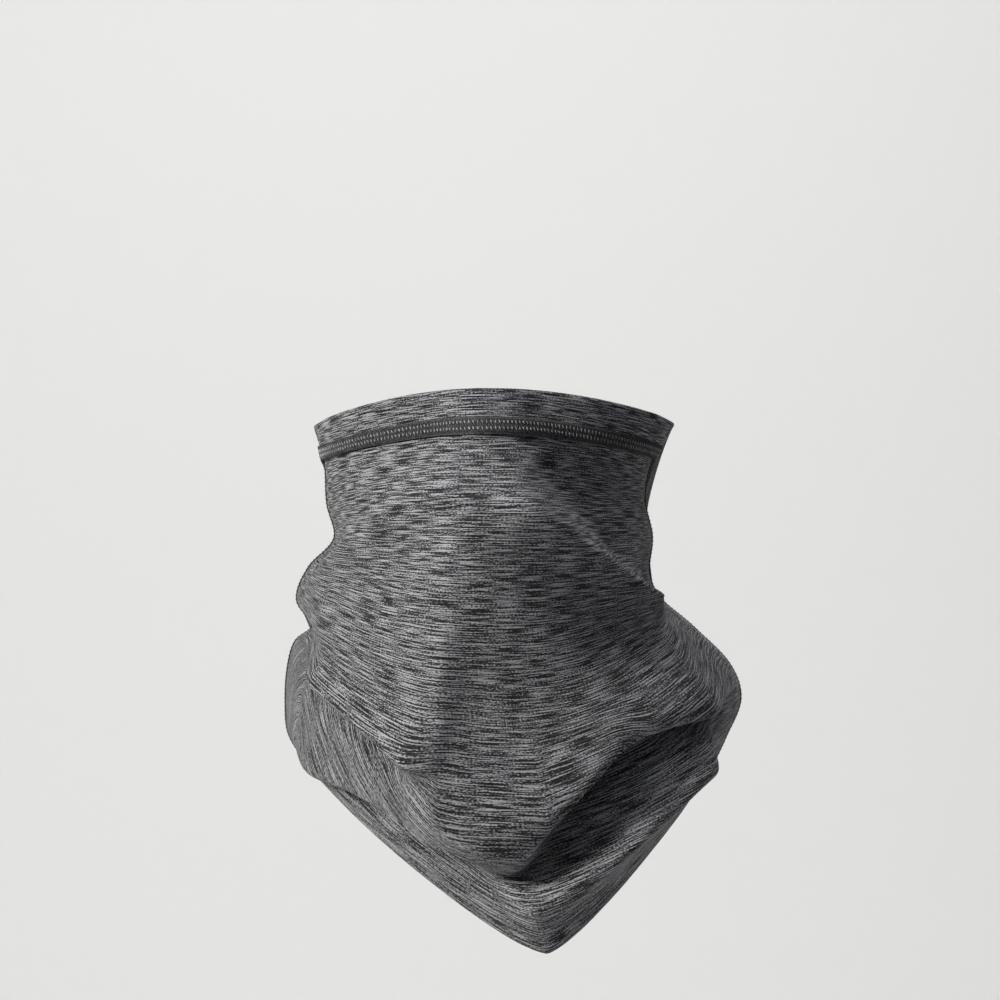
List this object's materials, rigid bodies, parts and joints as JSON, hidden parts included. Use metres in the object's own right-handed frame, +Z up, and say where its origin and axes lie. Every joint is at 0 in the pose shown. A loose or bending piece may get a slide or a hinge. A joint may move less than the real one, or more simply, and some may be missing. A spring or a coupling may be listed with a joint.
{
  "type": "neck gaiter",
  "caption": "Sewn stretch-jersey tube worn over the nose and cheeks and round the neck, with flatlocked hems and a tucked lower end.",
  "frame": {"origin": "on the vertical axis of the wearer's head, level with the front of the top edge", "axes": "+X to the wearer's left, +Y to the back of the head, +Z up"},
  "size_m": [0.1911, 0.2277, 0.2259],
  "materials": {
    "heather_jersey": "matt brushed stretch jersey, light grey with dark streaks along its courses",
    "seam_thread": "dark grey textured polyester thread with lighter needle stitches",
    "label_satin": "blank off-white woven satin"
  },
  "bodies": {
    "root": {"top_hem_band": "heather_jersey", "front_panel": "heather_jersey", "back_panel": "heather_jersey", "bottom_hem_band": "heather_jersey", "top_cover_stitch": "seam_thread", "top_looper_stitch": "seam_thread", "bottom_cover_stitch": "seam_thread", "bottom_looper_stitch": "seam_thread", "left_cover_stitch": "seam_thread", "left_looper_stitch": "seam_thread", "right_cover_stitch": "seam_thread", "right_looper_stitch": "seam_thread", "care_label": "label_satin"}
  },
  "joints": []
}
